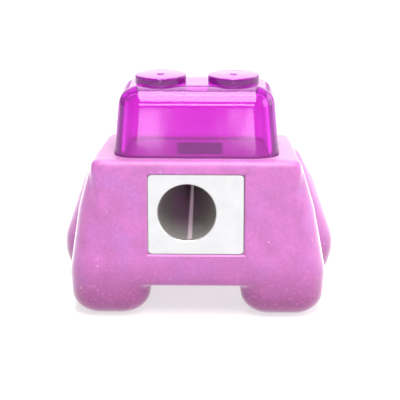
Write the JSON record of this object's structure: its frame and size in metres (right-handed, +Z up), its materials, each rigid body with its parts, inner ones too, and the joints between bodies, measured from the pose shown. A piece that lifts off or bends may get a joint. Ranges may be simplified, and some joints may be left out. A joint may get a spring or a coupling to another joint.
{
  "type": "pencil sharpener",
  "caption": "Four-footed rubber eraser with a metal wedge pencil sharpener pushed into its front and a translucent studded cap on top that catches the shavings.",
  "frame": {"origin": "centre of the box's bottom face, level with the soles of the feet", "axes": "+X to the right, -Y towards the pencil hole, +Z up"},
  "size_m": [0.0404, 0.028, 0.0336],
  "materials": {
    "eraser_rubber": "matte orchid pink eraser rubber with fine specks",
    "cap_plastic": "glossy translucent violet moulded plastic",
    "block_alloy": "machined pale magnesium alloy",
    "blade_steel": "ground and hardened steel",
    "screw_steel": "zinc-plated steel"
  },
  "bodies": {
    "eraser": {"eraser_body": "eraser_rubber"},
    "cap": {"shavings_cap": "cap_plastic"},
    "sharpener": {"sharpener_block": "block_alloy", "blade": "blade_steel", "blade_screw": "screw_steel"}
  },
  "joints": [
    {"name": "cap_lift", "type": "slide", "parent": "eraser", "child": "cap", "axis": [0, 0, 1], "range_m": [0, 0.018]},
    {"name": "block_pull", "type": "slide", "parent": "eraser", "child": "sharpener", "axis": [0, -1, 0], "range_m": [0, 0.024]}
  ]
}
